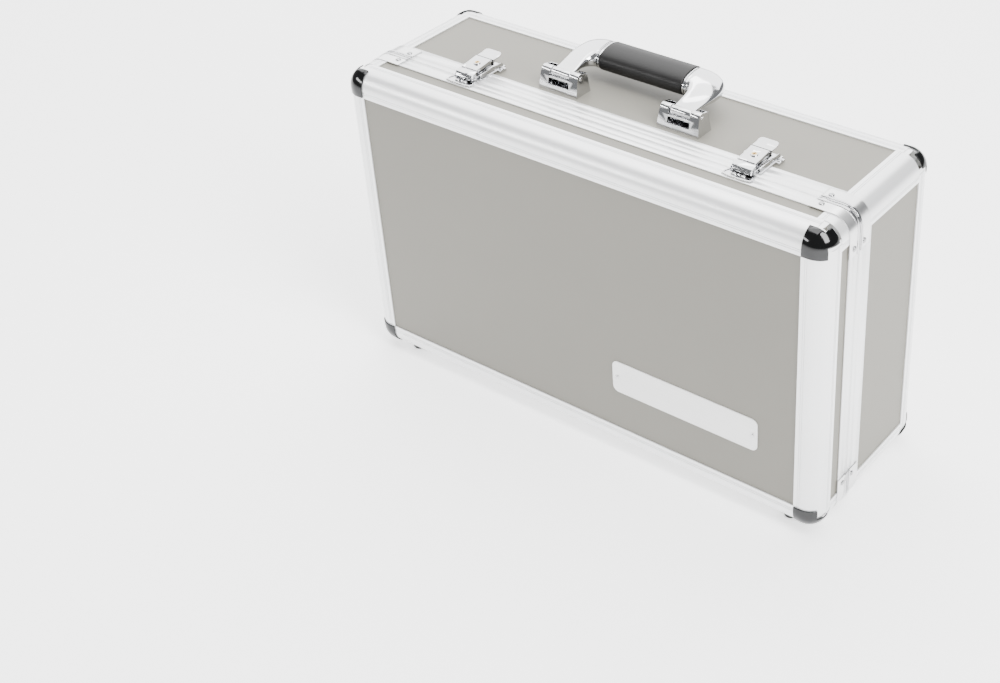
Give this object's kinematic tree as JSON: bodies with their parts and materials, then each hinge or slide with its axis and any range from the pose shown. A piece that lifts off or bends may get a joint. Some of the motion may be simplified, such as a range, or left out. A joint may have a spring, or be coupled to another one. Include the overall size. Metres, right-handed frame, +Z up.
{
  "type": "pedalboard carrying case",
  "caption": "Rigid carrying case for a pedalboard, with a drop-down lid on hinges, key latches, ball corners, foam lining and a folding handle.",
  "frame": {"origin": "centre of the case's footprint, on the surface that its feet stand on", "axes": "+X along the width to the viewer's right when facing the lid, +Y from the lid face to the back, +Z up"},
  "size_m": [0.5038, 0.1694, 0.332],
  "materials": {
    "panel_laminate": "matt warm grey laminate on plywood",
    "edge_aluminium": "satin anodised",
    "rim_aluminium": "satin anodised, fluted",
    "bracket_steel": "nickel plated, bright",
    "corner_chrome": "polished chrome plate",
    "fitting_chrome": "polished chrome plate",
    "plain_steel": "zinc plated",
    "plate_aluminium": "satin, left bare",
    "foam": "dark open cell foam",
    "foot_rubber": "black moulded rubber",
    "grip_rubber": "dark grey soft grip",
    "lock_brass": "plain brass"
  },
  "bodies": {
    "base": {"back_panel": "panel_laminate", "base_top_panel": "panel_laminate", "base_bottom_panel": "panel_laminate", "base_left_panel": "panel_laminate", "base_right_panel": "panel_laminate", "rear_edge_top": "edge_aluminium", "rear_edge_bottom": "edge_aluminium", "rear_edge_left": "edge_aluminium", "rear_edge_right": "edge_aluminium", "base_corner_posts": "edge_aluminium", "base_ball_corners": "corner_chrome", "base_rim_top": "rim_aluminium", "base_rim_bottom": "rim_aluminium", "base_rim_left": "rim_aluminium", "base_rim_right": "rim_aluminium", "base_rim_brackets": "bracket_steel", "base_rivets": "bracket_steel", "foam_back_pad": "foam", "foam_walls": "foam", "handle_brackets": "fitting_chrome", "handle_pins": "plain_steel", "handle_backing_plates": "plain_steel", "handle_screws": "plain_steel", "hinge_base_leaves": "plain_steel", "hinge_pins": "plain_steel", "base_feet": "foot_rubber", "latch_base_plates": "fitting_chrome", "latch_pins": "plain_steel"},
    "lid": {"lid_face_panel": "panel_laminate", "lid_top_panel": "panel_laminate", "lid_bottom_panel": "panel_laminate", "lid_left_panel": "panel_laminate", "lid_right_panel": "panel_laminate", "lid_edge_top": "edge_aluminium", "lid_edge_bottom": "edge_aluminium", "lid_edge_left": "edge_aluminium", "lid_edge_right": "edge_aluminium", "lid_corner_posts": "edge_aluminium", "lid_ball_corners": "corner_chrome", "lid_rim_top": "rim_aluminium", "lid_rim_bottom": "rim_aluminium", "lid_rim_left": "rim_aluminium", "lid_rim_right": "rim_aluminium", "lid_rim_brackets": "bracket_steel", "lid_rivets": "bracket_steel", "lid_foam_pad": "foam", "front_plate": "plate_aluminium", "front_plate_pins": "bracket_steel", "latch_catches": "fitting_chrome", "hinge_lid_leaves": "plain_steel", "lid_feet": "foot_rubber"},
    "handle": {"handle_frame": "fitting_chrome", "handle_grip": "grip_rubber"},
    "left_lever": {"latch_left_lever": "fitting_chrome"},
    "left_hook": {"latch_left_hook": "fitting_chrome"},
    "left_lock": {"latch_left_lock": "lock_brass"},
    "right_lever": {"latch_right_lever": "fitting_chrome"},
    "right_hook": {"latch_right_hook": "fitting_chrome"},
    "right_lock": {"latch_right_lock": "lock_brass"}
  },
  "joints": [
    {"name": "lid_hinge", "type": "hinge", "parent": "base", "child": "lid", "pos_m": [0, -0.0352, 0.0042], "axis": [1, 0, 0], "range_deg": [0, 105]},
    {"name": "handle_fold", "type": "hinge", "parent": "base", "child": "handle", "pos_m": [0, -0.0025, 0.3163], "axis": [1, 0, 0], "range_deg": [0, 155]},
    {"name": "left_latch_lever", "type": "hinge", "parent": "base", "child": "left_lever", "pos_m": [-0.145, -0.0306, 0.3093], "axis": [1, 0, 0], "range_deg": [0, 75]},
    {"name": "left_latch_hook", "type": "hinge", "parent": "base", "child": "left_hook", "pos_m": [-0.145, -0.0266, 0.3065], "axis": [1, 0, 0], "range_deg": [-12, 0]},
    {"name": "left_latch_lock", "type": "hinge", "parent": "left_lever", "child": "left_lock", "pos_m": [-0.145, -0.0206, 0.3083], "axis": [0, 0, 1], "range_deg": [0, 90]},
    {"name": "right_latch_lever", "type": "hinge", "parent": "base", "child": "right_lever", "pos_m": [0.145, -0.0306, 0.3093], "axis": [1, 0, 0], "range_deg": [0, 75]},
    {"name": "right_latch_hook", "type": "hinge", "parent": "base", "child": "right_hook", "pos_m": [0.145, -0.0266, 0.3065], "axis": [1, 0, 0], "range_deg": [-12, 0]},
    {"name": "right_latch_lock", "type": "hinge", "parent": "right_lever", "child": "right_lock", "pos_m": [0.145, -0.0206, 0.3083], "axis": [0, 0, 1], "range_deg": [0, 90]}
  ],
  "couplings": [
    {"joint": "left_latch_hook", "follows": "left_latch_lever", "ratio": -0.16},
    {"joint": "right_latch_hook", "follows": "right_latch_lever", "ratio": -0.16}
  ]
}
